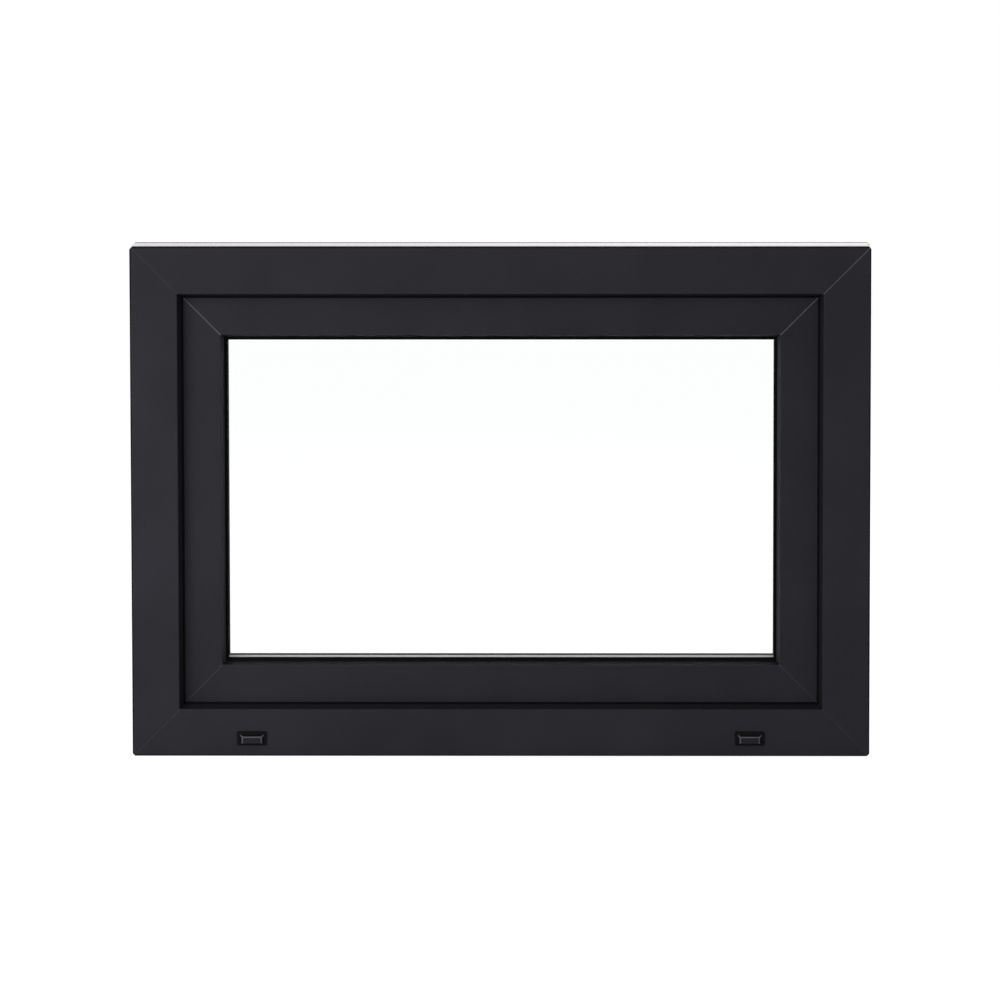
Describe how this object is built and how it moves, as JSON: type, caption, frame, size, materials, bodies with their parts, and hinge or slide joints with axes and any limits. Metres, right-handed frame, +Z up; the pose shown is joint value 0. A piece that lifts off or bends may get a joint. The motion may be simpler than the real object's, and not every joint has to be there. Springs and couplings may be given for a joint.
{
  "type": "tilt and turn window",
  "caption": "Closed tilt and turn window with hollow foiled profiles, a sealed glass unit, drain caps, an inside handle and corner hinges.",
  "frame": {"origin": "centre of the sill's underside, at the middle of the frame's depth", "axes": "+X along the sill to the handle side, +Y from the outside to the inside, +Z up"},
  "size_m": [0.9, 0.1487, 0.624],
  "materials": {
    "foiled_profile": "anthracite foil on white PVC-u",
    "gasket_rubber": "matt black",
    "float_glass": "clear float",
    "spacer_metal": "satin",
    "edge_sealant": "matt",
    "block_plastic": "moulded",
    "cap_plastic": "moulded, satin",
    "handle_metal": "satin anodised",
    "hinge_metal": "satin silver coating"
  },
  "bodies": {
    "root": {"frame_sill": "foiled_profile", "frame_head": "foiled_profile", "frame_jamb_left": "foiled_profile", "frame_jamb_right": "foiled_profile", "sash_bottom_rail": "foiled_profile", "sash_top_rail": "foiled_profile", "sash_stile_left": "foiled_profile", "sash_stile_right": "foiled_profile", "bead_bottom": "foiled_profile", "bead_top": "foiled_profile", "bead_left": "foiled_profile", "bead_right": "foiled_profile", "frame_gasket": "gasket_rubber", "glazing_gasket": "gasket_rubber", "overlap_gasket": "gasket_rubber", "bead_gasket": "gasket_rubber", "outer_pane": "float_glass", "inner_pane": "float_glass", "glass_spacer": "spacer_metal", "edge_seal": "edge_sealant", "glazing_blocks": "block_plastic", "drain_cap_left": "cap_plastic", "drain_cap_right": "cap_plastic", "handle_rosette": "handle_metal", "handle_lever": "handle_metal", "corner_bearing": "hinge_metal", "corner_hinge": "hinge_metal", "corner_pin": "hinge_metal", "stay_bearing": "hinge_metal", "stay_hinge": "hinge_metal", "stay_pin": "hinge_metal"}
  },
  "joints": []
}
